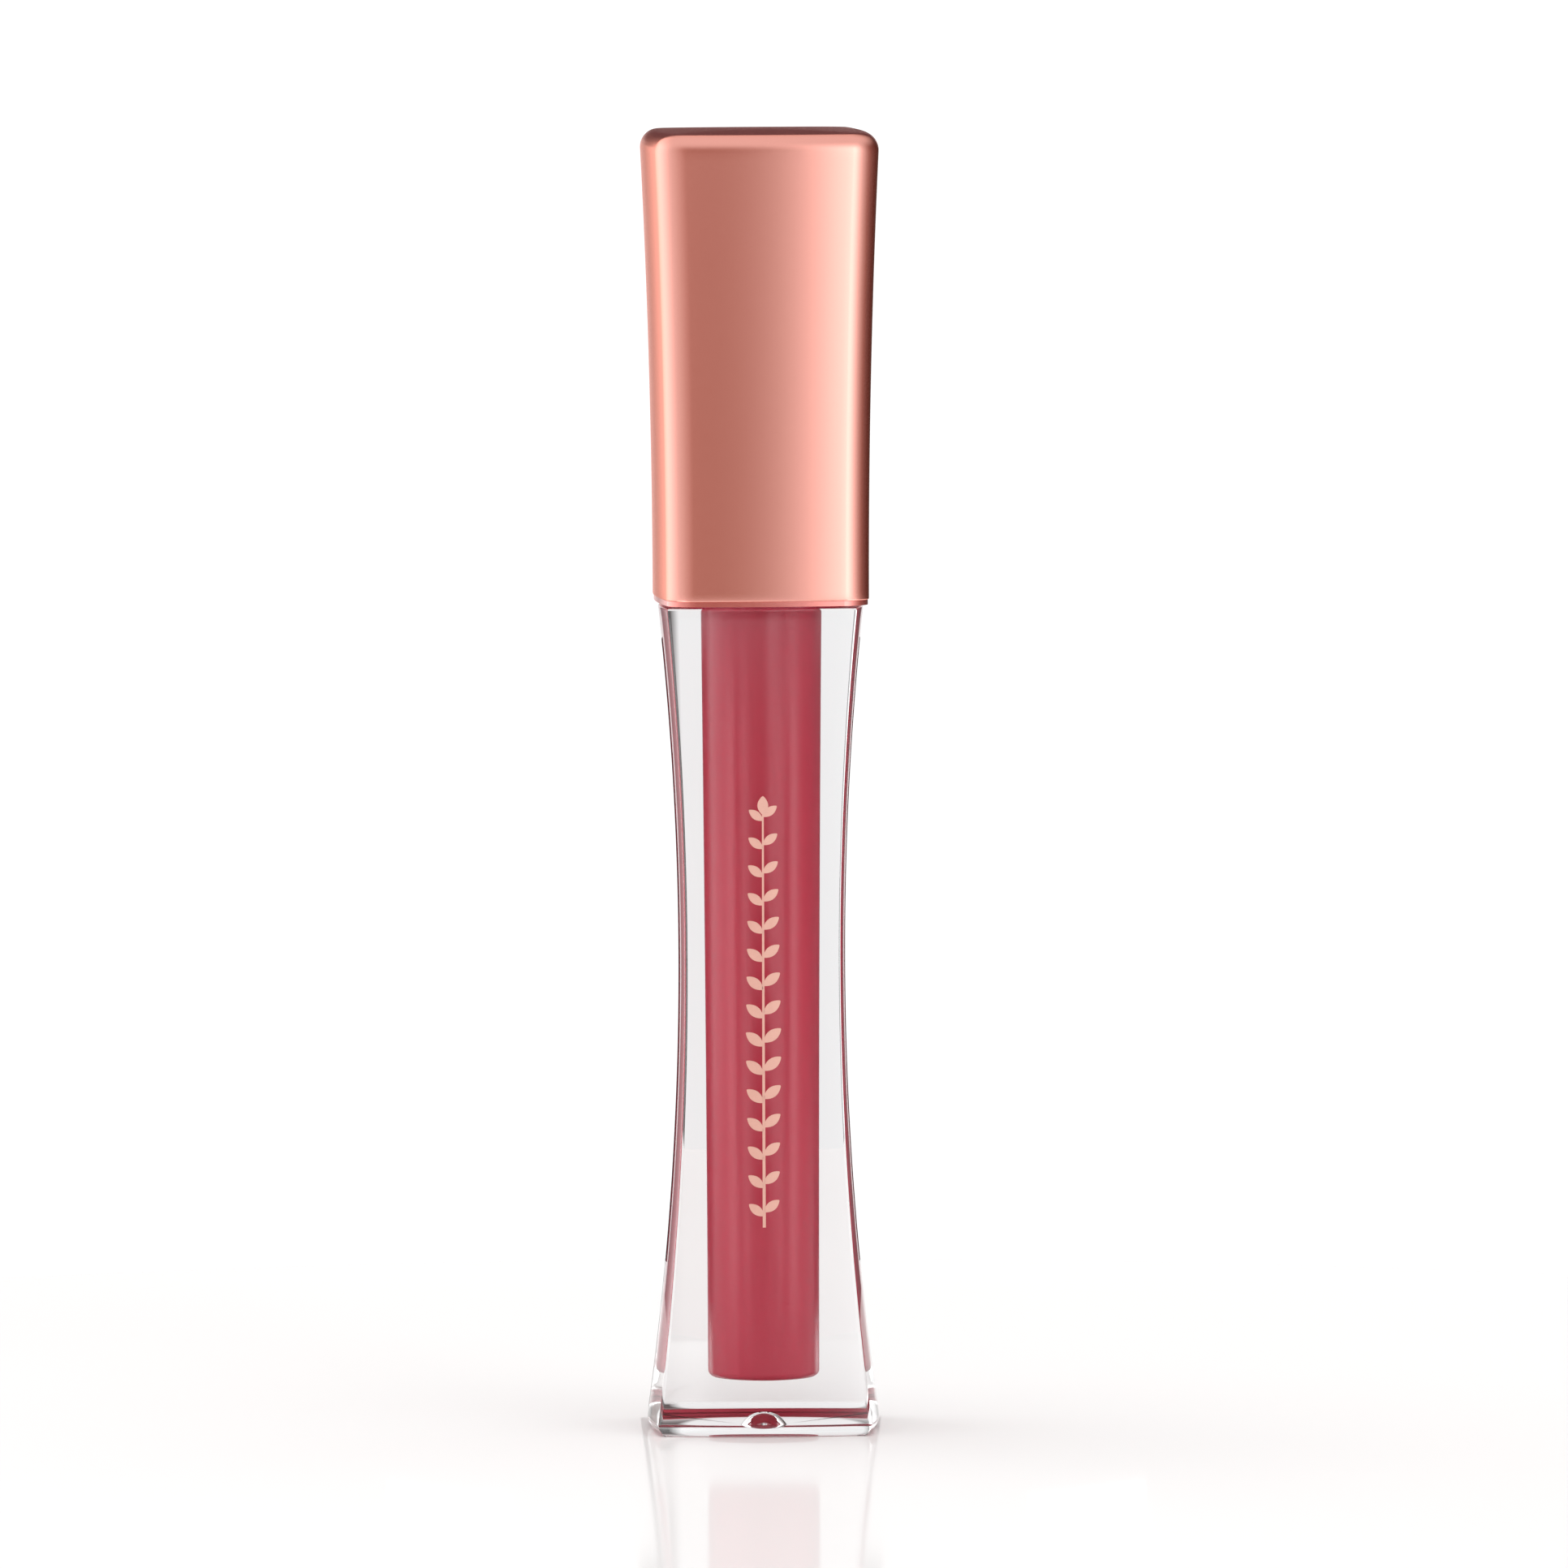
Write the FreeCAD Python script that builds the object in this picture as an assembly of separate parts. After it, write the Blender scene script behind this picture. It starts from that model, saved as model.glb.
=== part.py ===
"""A slim lip gloss tube: a clear flared bottle, its wiper, the gloss, and a cap that carries the wand.

Millimetres, +Z up. The origin is the centre of the face that the bottle stands on.
The front of the tube faces -Y. One STEP file is written for each separate piece.
"""
import FreeCAD, Part
import math
import os

# Overall
TOTAL_HEIGHT = 115.0
SECTION_STEPS = 8             # spans between the sections that a flared body is lofted through
CUTTER_MARGIN = 1.0           # how far a cutting shape reaches past what it cuts
LEVEL_TOLERANCE = 1e-4        # an edge this close to a height counts as lying at it

# Plan shapes: the radius of the slightly bulged sides, and the corner radius as a share of the half width
BOTTLE_FACE_RADIUS = 50.0
BOTTLE_CORNER_SHARE = 0.045
CAP_FACE_RADIUS = 60.0
CAP_CORNER_SHARE = 0.28

# Bottle, outside
SHOULDER_Z = 73.05
WAIST_Z = 41.6
WAIST_HALF = 7.37
BOTTLE_FLANK_RADIUS = 286.0
BASE_EDGE = 1.0
SHOULDER_EDGE = 0.25

# Bottle, inside
CAVITY_FLOOR_Z = 4.37
CAVITY_FLOOR_RADIUS = 4.55
CAVITY_TOP_RADIUS = 4.95
CAVITY_FLOOR_EDGE = 0.6
GATE_WIDTH = 3.9
GATE_DEPTH = 1.1
GATE_NUB_RADIUS = 0.45
GATE_NUB_DROP = 0.35

# Neck
NECK_TOP_Z = 87.0
NECK_RADIUS = 6.2
NECK_BORE_RADIUS = 5.05
NECK_BORE_DEPTH = 11.0
NECK_EDGE = 0.25
NECK_ANCHOR = 1.0             # how far the neck's root is sunk into the shoulder
BEAD_Z = 74.6
BEAD_RADIUS = 6.6
BEAD_HALF_HEIGHT = 0.45

# Thread, right-hand, single start
LEAD = 3.0
THREAD_TURNS = 1.5
THREAD_START_Z = 77.6
NECK_THREAD_CREST = 6.7
CAP_THREAD_CREST = 6.75
RIDGE_ROOT_HALF = 0.6
RIDGE_CREST_HALF = 0.3
RIDGE_ANCHOR = 0.25           # how far a ridge's root is sunk into its wall

# Wiper
WIPER_FLANGE_RADIUS = 6.1
WIPER_FLANGE = 0.8
WIPER_SLEEVE_RADIUS = 5.02
WIPER_SLEEVE_WALL = 0.7
WIPER_SLEEVE_LENGTH = 8.5
WIPER_CONE_LENGTH = 3.6
WIPER_ORIFICE_RADIUS = 2.15
WIPER_LIP = 0.5               # height of the lip round the orifice, and its thickness

# Gloss
GLOSS_TOP_Z = 74.0
GLOSS_FILM = 0.01             # keeps the liquid's skin off the cavity wall
WAND_PATH_RADIUS = 2.35
WAND_PATH_FLOOR_Z = 6.2

# Outer cap
CAP_BOTTOM_Z = 73.7
CAP_BOTTOM_HALF = 9.35
CAP_FLANK_RADIUS = 800.0
CAP_WALL = 1.2
CAP_ROOF = 1.5
CAP_TOP_EDGE = 1.55
CAP_HOLLOW_EDGE = 1.0
CAP_BOTTOM_EDGE = 0.12
CAP_TURN_DEGREES = 4.3        # how far past square the cap stops when it is screwed home

# Inner cap
LIP_Z = 73.25
LIP_HALF = 9.25
SLEEVE_BORE_RADIUS = 7.25
SLEEVE_RADIUS = 8.1
DECK = 1.3
SOCKET_RADIUS = 3.6
SOCKET_TOP_Z = 98.5
SOCKET_ROOF = 1.0
RIB_THICKNESS = 1.2
RIB_REACH = 10.15
RIB_ANCHOR = 0.12             # how far a rib's foot is sunk into the lip
RIB_TOP_DROP = 0.2            # how far a rib stops below the top of the deck
MOUTH_BEVEL = 0.5

# Seal liner
LINER = 0.8
LINER_RADIUS = 6.9

# Wand
ROD_RADIUS = 2.1
ROD_BOTTOM_Z = 22.0
RUNNING_GAP = 0.03
SPIGOT_RADIUS = 1.2
SPIGOT_LENGTH = 5.0
SPIGOT_HOLE_EXTRA = 0.3
FLOCK = 0.35
TIP_CENTRE_Z = 8.9
SLANT_DEGREES = 15.0
SLANT_START_Z = 19.0

# Heights that follow from the ones above
WIPER_TOP_Z = NECK_TOP_Z + WIPER_FLANGE
LINER_TOP_Z = WIPER_TOP_Z + LINER
DECK_TOP_Z = LINER_TOP_Z + DECK
ROD_TOP_Z = SOCKET_TOP_Z - SOCKET_ROOF
CORE_RADIUS = ROD_RADIUS - FLOCK
BOTTLE_PLAN = (BOTTLE_FACE_RADIUS, BOTTLE_CORNER_SHARE)
CAP_PLAN = (CAP_FACE_RADIUS, CAP_CORNER_SHARE)

UP = FreeCAD.Vector(0, 0, 1)


def cylinder(radius, low_z, high_z):
    return Part.makeCylinder(radius, high_z - low_z, FreeCAD.Vector(0, 0, low_z), UP)


def cone(low_radius, high_radius, low_z, high_z):
    return Part.makeCone(low_radius, high_radius, high_z - low_z, FreeCAD.Vector(0, 0, low_z), UP)


def ring(outer, inner, low_z, high_z):
    return cylinder(outer, low_z, high_z).cut(cylinder(inner, low_z, high_z))


def bottle_half(z):
    """Half width of the bottle across its flats: one long arc either side of the waist."""
    rise = math.sqrt(BOTTLE_FLANK_RADIUS ** 2 - (z - WAIST_Z) ** 2)
    return WAIST_HALF + BOTTLE_FLANK_RADIUS - rise


def cap_half(z):
    """Half width of the cap across its flats: upright at the bottom, flaring to the top."""
    rise = math.sqrt(CAP_FLANK_RADIUS ** 2 - (z - CAP_BOTTOM_Z) ** 2)
    return CAP_BOTTOM_HALF + CAP_FLANK_RADIUS - rise


def section(plan, half, z, inset=0.0):
    """A square with bulged sides and round corners, as a closed wire of eight tangent arcs."""
    face_radius, corner_share = plan
    side_radius = face_radius - inset
    corner_radius = corner_share * half - inset
    back = face_radius - half
    reach = side_radius - corner_radius
    corner = (math.sqrt(2 * reach ** 2 - back ** 2) - back) / 2
    lean = math.atan2(corner, corner + back)
    edges = []
    for quarter in range(4):
        turn = quarter * math.pi / 2

        def spot(centre, radius, angle):
            x = centre[0] + radius * math.cos(angle)
            y = centre[1] + radius * math.sin(angle)
            return FreeCAD.Vector(x * math.cos(turn) - y * math.sin(turn),
                                  x * math.sin(turn) + y * math.cos(turn), z)

        side = (-back, 0.0)
        round_off = (corner, corner)
        side_arc = [spot(side, side_radius, angle) for angle in (-lean, 0.0, lean)]
        corner_arc = [spot(round_off, corner_radius, angle)
                      for angle in (lean, math.pi / 4, math.pi / 2 - lean)]
        edges.append(Part.Arc(*side_arc).toShape())
        edges.append(Part.Arc(*corner_arc).toShape())
    return Part.Wire(edges)


def flared(plan, half_at, low_z, high_z, inset=0.0):
    """A solid lofted through sections whose half width follows half_at."""
    heights = [low_z + (high_z - low_z) * step / SECTION_STEPS for step in range(SECTION_STEPS + 1)]
    return Part.makeLoft([section(plan, half_at(z), z, inset) for z in heights], True, False)


def rim(solid, z):
    """The edges of a solid that lie flat at one height."""
    return [edge for edge in solid.Edges
            if max(abs(edge.BoundBox.ZMin - z), abs(edge.BoundBox.ZMax - z)) < LEVEL_TOLERANCE]


def screwed_home(solid):
    """A piece of the cap, turned to where the thread stops it."""
    turned = solid.copy()
    turned.rotate(FreeCAD.Vector(0, 0, 0), UP, CAP_TURN_DEGREES)
    return turned


def thread_ridge(wall_radius, crest_radius, start_z):
    """A helical ridge that stands on a round wall, inwards or outwards."""
    outwards = 1 if crest_radius > wall_radius else -1
    root = wall_radius - outwards * RIDGE_ANCHOR
    corners = [(root, -RIDGE_ROOT_HALF), (crest_radius, -RIDGE_CREST_HALF),
               (crest_radius, RIDGE_CREST_HALF), (root, RIDGE_ROOT_HALF)]
    points = [FreeCAD.Vector(radius, 0, start_z + z) for radius, z in corners]
    profile = Part.makePolygon(points + points[:1])
    path = Part.makeHelix(LEAD, LEAD * THREAD_TURNS, wall_radius)
    path.translate(FreeCAD.Vector(0, 0, start_z))
    return Part.Wire(path.Edges).makePipeShell([profile], True, True)


def cavity(shrink=0.0):
    """The tapered well that a core pin leaves, from its floor to the bottom of the neck bore."""
    top_z = NECK_TOP_Z - NECK_BORE_DEPTH
    slope = (CAVITY_TOP_RADIUS - CAVITY_FLOOR_RADIUS) / (SHOULDER_Z - CAVITY_FLOOR_Z)
    top_radius = CAVITY_FLOOR_RADIUS + slope * (top_z - CAVITY_FLOOR_Z)
    floor_z = CAVITY_FLOOR_Z + shrink
    well = cone(CAVITY_FLOOR_RADIUS - shrink, top_radius - shrink, floor_z, top_z)
    return well.makeFillet(CAVITY_FLOOR_EDGE, rim(well, floor_z))


def gate_recess():
    """The dished mark under the base, with the small stub that the moulding gate leaves."""
    ball = ((GATE_WIDTH / 2) ** 2 + GATE_DEPTH ** 2) / (2 * GATE_DEPTH)
    dish = Part.makeSphere(ball, FreeCAD.Vector(0, 0, GATE_DEPTH - ball))
    nub = cylinder(GATE_NUB_RADIUS, GATE_DEPTH - GATE_NUB_DROP, GATE_DEPTH)
    return dish.cut(nub)


def make_bottle():
    body = flared(BOTTLE_PLAN, bottle_half, 0.0, SHOULDER_Z)
    body = body.makeFillet(BASE_EDGE, rim(body, 0.0))
    body = body.makeFillet(SHOULDER_EDGE, rim(body, SHOULDER_Z))
    neck = cylinder(NECK_RADIUS, SHOULDER_Z - NECK_ANCHOR, NECK_TOP_Z)
    neck = neck.makeChamfer(NECK_EDGE, rim(neck, NECK_TOP_Z))
    bead_low = cone(NECK_RADIUS, BEAD_RADIUS, BEAD_Z - BEAD_HALF_HEIGHT, BEAD_Z)
    bead_high = cone(BEAD_RADIUS, NECK_RADIUS, BEAD_Z, BEAD_Z + BEAD_HALF_HEIGHT)
    ridge = thread_ridge(NECK_RADIUS, NECK_THREAD_CREST, THREAD_START_Z)
    solid = body.fuse([neck, bead_low, bead_high, ridge])
    bore = cylinder(NECK_BORE_RADIUS, NECK_TOP_Z - NECK_BORE_DEPTH, NECK_TOP_Z)
    return solid.cut([cavity(), bore, gate_recess()])


def make_wiper():
    """A soft insert: a flange on the neck's rim, a sleeve in its bore, and a lip round the wand."""
    inner = WIPER_SLEEVE_RADIUS - WIPER_SLEEVE_WALL
    sleeve_low = NECK_TOP_Z - WIPER_SLEEVE_LENGTH
    cone_top = sleeve_low + WIPER_CONE_LENGTH
    solid = cylinder(WIPER_FLANGE_RADIUS, NECK_TOP_Z, WIPER_TOP_Z)
    solid = solid.fuse(cylinder(WIPER_SLEEVE_RADIUS, sleeve_low, NECK_TOP_Z))
    solid = solid.cut(cylinder(inner, cone_top, WIPER_TOP_Z))
    funnel = cone(WIPER_ORIFICE_RADIUS, inner, sleeve_low + WIPER_LIP, cone_top)
    solid = solid.cut(funnel)
    solid = solid.cut(cylinder(WIPER_ORIFICE_RADIUS, sleeve_low, sleeve_low + WIPER_LIP))
    under = cone(WIPER_SLEEVE_RADIUS + CUTTER_MARGIN, WIPER_SLEEVE_RADIUS, sleeve_low, cone_top)
    taper = under.cut(cone(WIPER_ORIFICE_RADIUS + WIPER_LIP, WIPER_SLEEVE_RADIUS, sleeve_low, cone_top))
    return solid.cut(taper)


def make_gloss():
    filled = cavity(GLOSS_FILM).common(cylinder(NECK_RADIUS, 0, GLOSS_TOP_Z))
    return filled.cut(cylinder(WAND_PATH_RADIUS, WAND_PATH_FLOOR_Z, GLOSS_TOP_Z))


def make_outer_cap():
    shell = flared(CAP_PLAN, cap_half, CAP_BOTTOM_Z, TOTAL_HEIGHT)
    shell = shell.makeFillet(CAP_TOP_EDGE, rim(shell, TOTAL_HEIGHT))
    shell = shell.makeFillet(CAP_BOTTOM_EDGE, rim(shell, CAP_BOTTOM_Z))
    roof_z = TOTAL_HEIGHT - CAP_ROOF
    hollow = flared(CAP_PLAN, cap_half, CAP_BOTTOM_Z, roof_z, CAP_WALL)
    hollow = hollow.makeFillet(CAP_HOLLOW_EDGE, rim(hollow, roof_z))
    return screwed_home(shell.cut(hollow))


def make_inner_cap():
    """The threaded sleeve that grips the neck, with the lip seen under the cap and the rod's socket."""
    lip = Part.Face(section(CAP_PLAN, LIP_HALF, LIP_Z)).extrude(UP * (CAP_BOTTOM_Z - LIP_Z))
    solid = lip.fuse([cylinder(SLEEVE_RADIUS, LIP_Z, DECK_TOP_Z),
                      cylinder(SOCKET_RADIUS, DECK_TOP_Z - DECK, SOCKET_TOP_Z)])
    rib_low = CAP_BOTTOM_Z - RIB_ANCHOR
    rib_height = DECK_TOP_Z - RIB_TOP_DROP - rib_low
    for corner in range(4):
        rib = Part.makeBox(RIB_REACH, RIB_THICKNESS, rib_height,
                           FreeCAD.Vector(0, -RIB_THICKNESS / 2, rib_low))
        rib.rotate(FreeCAD.Vector(0, 0, 0), UP, 45 + 90 * corner)
        solid = solid.fuse(rib)
    solid = solid.cut([cylinder(SLEEVE_BORE_RADIUS, LIP_Z, LINER_TOP_Z),
                       cone(SLEEVE_BORE_RADIUS + MOUTH_BEVEL, SLEEVE_BORE_RADIUS, LIP_Z, LIP_Z + MOUTH_BEVEL),
                       cylinder(ROD_RADIUS + RUNNING_GAP, LINER_TOP_Z, ROD_TOP_Z + RUNNING_GAP)])
    ridge = thread_ridge(SLEEVE_BORE_RADIUS, CAP_THREAD_CREST, THREAD_START_Z - LEAD / 2)
    return screwed_home(solid.fuse(ridge))


def make_seal_liner():
    return ring(LINER_RADIUS, ROD_RADIUS + RUNNING_GAP, WIPER_TOP_Z, LINER_TOP_Z)


def make_wand_rod():
    rod = cylinder(ROD_RADIUS, ROD_BOTTOM_Z + RUNNING_GAP, ROD_TOP_Z)
    hole = cylinder(SPIGOT_RADIUS + RUNNING_GAP, ROD_BOTTOM_Z, ROD_BOTTOM_Z + SPIGOT_LENGTH + SPIGOT_HOLE_EXTRA)
    return rod.cut(hole)


def doe_foot(grow):
    """A round-ended finger with one side cut away on a slant, grown all round by a given amount."""
    radius = CORE_RADIUS + grow
    finger = cylinder(radius, TIP_CENTRE_Z, ROD_BOTTOM_Z)
    finger = finger.fuse(Part.makeSphere(radius, FreeCAD.Vector(0, 0, TIP_CENTRE_Z)))
    size = 4 * ROD_BOTTOM_Z
    block = Part.makeBox(size, size, size, FreeCAD.Vector(-size / 2, -size - grow, -size))
    block.rotate(FreeCAD.Vector(0, 0, 0), FreeCAD.Vector(1, 0, 0), SLANT_DEGREES)
    block.translate(FreeCAD.Vector(0, -CORE_RADIUS, SLANT_START_Z))
    return finger.cut(block).removeSplitter()


def make_applicator_tip():
    spigot = cylinder(SPIGOT_RADIUS, ROD_BOTTOM_Z, ROD_BOTTOM_Z + SPIGOT_LENGTH)
    return doe_foot(0.0).fuse(spigot)


def make_applicator_flock():
    return doe_foot(FLOCK).cut(doe_foot(0.0))


PIECES = {
    "bottle": make_bottle,
    "wiper": make_wiper,
    "gloss": make_gloss,
    "outer_cap": make_outer_cap,
    "inner_cap": make_inner_cap,
    "seal_liner": make_seal_liner,
    "wand_rod": make_wand_rod,
    "applicator_tip": make_applicator_tip,
    "applicator_flock": make_applicator_flock,
}

os.makedirs("parts", exist_ok=True)
for name, make in PIECES.items():
    shape = make()
    box = shape.BoundBox
    print(f"{name}: solids {len(shape.Solids)} valid {shape.isValid()} volume {shape.Volume:.1f}"
          f" x {box.XLength:.2f} z {box.ZMin:.2f}..{box.ZMax:.2f}")
    shape.exportStep(f"parts/{name}.step")
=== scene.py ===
import math
import random

import bpy
from mathutils import Matrix, Quaternion, Vector


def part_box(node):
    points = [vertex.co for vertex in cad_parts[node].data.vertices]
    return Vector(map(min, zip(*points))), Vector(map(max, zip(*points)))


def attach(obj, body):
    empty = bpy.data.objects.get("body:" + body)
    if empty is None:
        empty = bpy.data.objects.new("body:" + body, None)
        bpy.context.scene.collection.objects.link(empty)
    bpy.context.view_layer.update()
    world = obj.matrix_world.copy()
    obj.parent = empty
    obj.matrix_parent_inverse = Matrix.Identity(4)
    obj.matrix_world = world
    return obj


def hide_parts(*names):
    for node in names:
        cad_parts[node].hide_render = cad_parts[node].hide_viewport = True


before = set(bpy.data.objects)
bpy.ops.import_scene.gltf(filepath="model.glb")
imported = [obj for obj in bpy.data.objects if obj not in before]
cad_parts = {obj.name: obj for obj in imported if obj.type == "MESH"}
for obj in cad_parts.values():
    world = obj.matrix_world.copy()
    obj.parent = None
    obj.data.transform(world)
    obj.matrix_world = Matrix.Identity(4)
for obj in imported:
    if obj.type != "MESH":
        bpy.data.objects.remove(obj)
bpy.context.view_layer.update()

MM = 0.001

# Heights taken from the CAD pieces
cap_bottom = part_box("outer_cap")[0].z
cap_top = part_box("outer_cap")[1].z
neck_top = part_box("bottle")[1].z
gloss_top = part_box("gloss")[1].z


def add_object(name, data):
    made = bpy.data.objects.new(name, data)
    bpy.context.scene.collection.objects.link(made)
    return made


# Camera, a long lens a little above the tube, aimed so that the tube stands just left of the middle
CAMERA_DISTANCE = 1.8
CAMERA_HEIGHT = 0.183
CAMERA_YAW = 1.0
CAMERA_ROLL = -0.19
AIM = Vector((2.02 * MM, 0.0, 57.0 * MM))
FRAME_WIDTH_AT_TUBE = 138.65 * MM
SENSOR = 36.0


def make_camera():
    yaw = math.radians(CAMERA_YAW)
    place = Vector((-CAMERA_DISTANCE * math.sin(yaw), -CAMERA_DISTANCE * math.cos(yaw), CAMERA_HEIGHT))
    data = bpy.data.cameras.new("camera")
    data.sensor_width = SENSOR
    data.lens = SENSOR * (AIM - place).length / FRAME_WIDTH_AT_TUBE
    data.clip_start = 0.01
    data.clip_end = 20
    camera = add_object("camera", data)
    camera.location = place
    aim = (AIM - place).to_track_quat("-Z", "Y")
    camera.rotation_euler = (aim @ Quaternion((0, 0, 1), math.radians(CAMERA_ROLL))).to_euler()
    bpy.context.scene.camera = camera


# Sizes of the moulded shapes, the same as the CAD model's
BOTTLE_PLAN = (50.0 * MM, 0.045)
CAP_PLAN = (60.0 * MM, 0.28)
SHOULDER_Z = 73.05 * MM
WAIST_Z = 41.6 * MM
WAIST_HALF = 7.37 * MM
BOTTLE_FLANK_RADIUS = 286.0 * MM
BASE_EDGE = 1.0 * MM
SHOULDER_EDGE = 0.25 * MM
CAVITY_FLOOR_Z = 4.37 * MM
CAVITY_FLOOR_RADIUS = 4.55 * MM
CAVITY_TOP_RADIUS = 4.95 * MM
CAVITY_FLOOR_EDGE = 0.6 * MM
GATE_HALF = 1.95 * MM
GATE_DEPTH = 1.1 * MM
GATE_NUB_RADIUS = 0.45 * MM
GATE_NUB_DROP = 0.35 * MM
NECK_RADIUS = 6.2 * MM
NECK_BORE_RADIUS = 5.05 * MM
NECK_BORE_DEPTH = 11.0 * MM
NECK_EDGE = 0.25 * MM
NECK_ROOT_EDGE = 0.3 * MM
BEAD_Z = 74.6 * MM
BEAD_HALF = 0.45 * MM
BEAD_RISE = 0.4 * MM
LEAD = 3.0 * MM
THREAD_TURNS = 1.5
THREAD_START_Z = 77.6 * MM
THREAD_RISE = 0.5 * MM
RIDGE_ROOT_HALF = 0.6 * MM
RIDGE_CREST_HALF = 0.3 * MM
CAP_BOTTOM_HALF = 9.35 * MM
CAP_FLANK_RADIUS = 800.0 * MM
CAP_WALL = 1.2 * MM
CAP_ROOF = 1.5 * MM
CAP_TOP_EDGE = 1.55 * MM
CAP_HOLLOW_EDGE = 1.0 * MM
CAP_BOTTOM_EDGE = 0.12 * MM
CAP_CROWN = 0.2 * MM
CAP_CROWN_LEAN_DEGREES = 3.0
CAP_TURN_DEGREES = 4.3        # where the screwed-on cap comes to rest, past square with the bottle
WAND_PATH_RADIUS = 2.35 * MM
WAND_PATH_FLOOR_Z = 6.2 * MM
GLOSS_WETTING = 0.03 * MM     # the liquid's skin lies this far inside the plastic
GLOSS_DIP = 1.4 * MM          # how far its top sinks towards the wand
GLOSS_RISE = 0.25 * MM        # how far its top climbs up the wall

SPRIG_BOTTOM = 18.4 * MM
SPRIG_TOP = 56.5 * MM
STEM_WIDTH = 0.24 * MM
LEAF_LENGTH = 2.0 * MM
LEAF_WIDTH = 0.95 * MM
LEAF_PAIRS = 15
LEAF_LEAN_DEGREES = 52
LEAF_STAGGER = 0.35 * MM      # a right leaf's foot stands this much above its left one's
FOIL_FOOT = 0.002 * MM
FOIL_TOP = 0.02 * MM
FIBRES_PER_SQUARE_MM = 26
FIBRE_RADIUS = 0.014 * MM
FIBRE_LENGTH_MM = (0.14, 0.26)
FIBRE_ROOT_MM = 0.04
FIBRE_LEAN = 0.55
ROD_STAIN_LOW = 74 * MM
ROD_STAIN_HIGH = 82 * MM

SIDE_STEPS = 30
CORNER_STEPS = 26


# Meshes built ring by ring. A ring is a list of (x, y, z), and all rings have the same number of points.

def bottle_half(z):
    return WAIST_HALF + BOTTLE_FLANK_RADIUS - math.sqrt(BOTTLE_FLANK_RADIUS ** 2 - (z - WAIST_Z) ** 2)


def cap_half(z):
    return CAP_BOTTOM_HALF + CAP_FLANK_RADIUS - math.sqrt(CAP_FLANK_RADIUS ** 2 - (z - cap_bottom) ** 2)


def square_ring(plan, half, z, inset=0.0):
    """A square with bulged sides and round corners, drawn in by inset all round."""
    face_radius, corner_share = plan
    side_radius = face_radius - inset
    corner_radius = corner_share * half - inset
    back = face_radius - half
    reach = side_radius - corner_radius
    corner = (math.sqrt(2 * reach ** 2 - back ** 2) - back) / 2
    lean = math.atan2(corner, corner + back)
    points = []
    for quarter in range(4):
        cos, sin = [(1, 0), (0, 1), (-1, 0), (0, -1)][quarter]
        for step in range(SIDE_STEPS + CORNER_STEPS):
            if step < SIDE_STEPS:
                angle = lean * (2 * step / SIDE_STEPS - 1)
                x, y = side_radius * math.cos(angle) - back, side_radius * math.sin(angle)
            else:
                angle = lean + (math.pi / 2 - 2 * lean) * (step - SIDE_STEPS) / CORNER_STEPS
                x, y = corner + corner_radius * math.cos(angle), corner + corner_radius * math.sin(angle)
            points.append((x * cos - y * sin, x * sin + y * cos, z))
    return points


POLAR = [math.atan2(y, x) for x, y, _ in square_ring(BOTTLE_PLAN, 9 * MM, 0.0)]


def round_ring(radius, z):
    return [(radius * math.cos(a), radius * math.sin(a), z) for a in POLAR]


def between(first, second, share):
    return [tuple(a + (b - a) * share for a, b in zip(p, q)) for p, q in zip(first, second)]


def arc(centre_x, centre_z, radius, start, end, steps):
    """Points (x, z) along an arc, angles in degrees from +X towards +Z."""
    angles = [math.radians(start + (end - start) * i / steps) for i in range(steps + 1)]
    return [(centre_x + radius * math.cos(a), centre_z + radius * math.sin(a)) for a in angles]


def spread(low, high, steps):
    return [low + (high - low) * i / steps for i in range(steps + 1)]


def skin(name, rings, sharp=32):
    """A closed mesh through rings, shut at both ends by a fan."""
    count = len(rings[0])
    points = [p for ring in rings for p in ring]
    faces = []
    for row in range(len(rings) - 1):
        base = row * count
        for i in range(count):
            j = (i + 1) % count
            faces.append((base + i, base + j, base + count + j, base + count + i))
    for row, order in ((0, -1), (len(rings) - 1, 1)):
        ring = rings[row]
        centre = len(points)
        points.append(tuple(sum(p[k] for p in ring) / count for k in range(3)))
        for i in range(count):
            pair = (row * count + i, row * count + (i + 1) % count)[::order]
            faces.append((*pair, centre))
    mesh = bpy.data.meshes.new(name)
    mesh.from_pydata(points, [], faces)
    mesh.polygons.foreach_set("use_smooth", [True] * len(mesh.polygons))
    mesh.set_sharp_from_angle(angle=math.radians(sharp))
    mesh.validate()
    return add_object(name, mesh)


def mesh_piece(name, points, faces):
    mesh = bpy.data.meshes.new(name)
    mesh.from_pydata(points, [], faces)
    mesh.validate()
    return add_object(name, mesh)


def fade(value, low, high):
    """0 below low, 1 above high, smooth between."""
    share = min(max((value - low) / (high - low), 0.0), 1.0)
    return share * share * (3 - 2 * share)


def ridge_rise(angle, z, start_z):
    """How far the thread stands out at a place on the neck: one helical ridge with soft ends."""
    turn = (angle / (2 * math.pi)) % 1.0
    best = 0.0
    for whole in range(int(THREAD_TURNS) + 1):
        along = turn + whole
        if along <= THREAD_TURNS:
            off = abs(z - start_z - LEAD * along)
            height = 1 - fade(off, RIDGE_CREST_HALF, RIDGE_ROOT_HALF)
            ends = fade(along, 0.0, 0.06) * fade(THREAD_TURNS - along, 0.0, 0.06)
            best = max(best, height * ends)
    return THREAD_RISE * best


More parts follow.
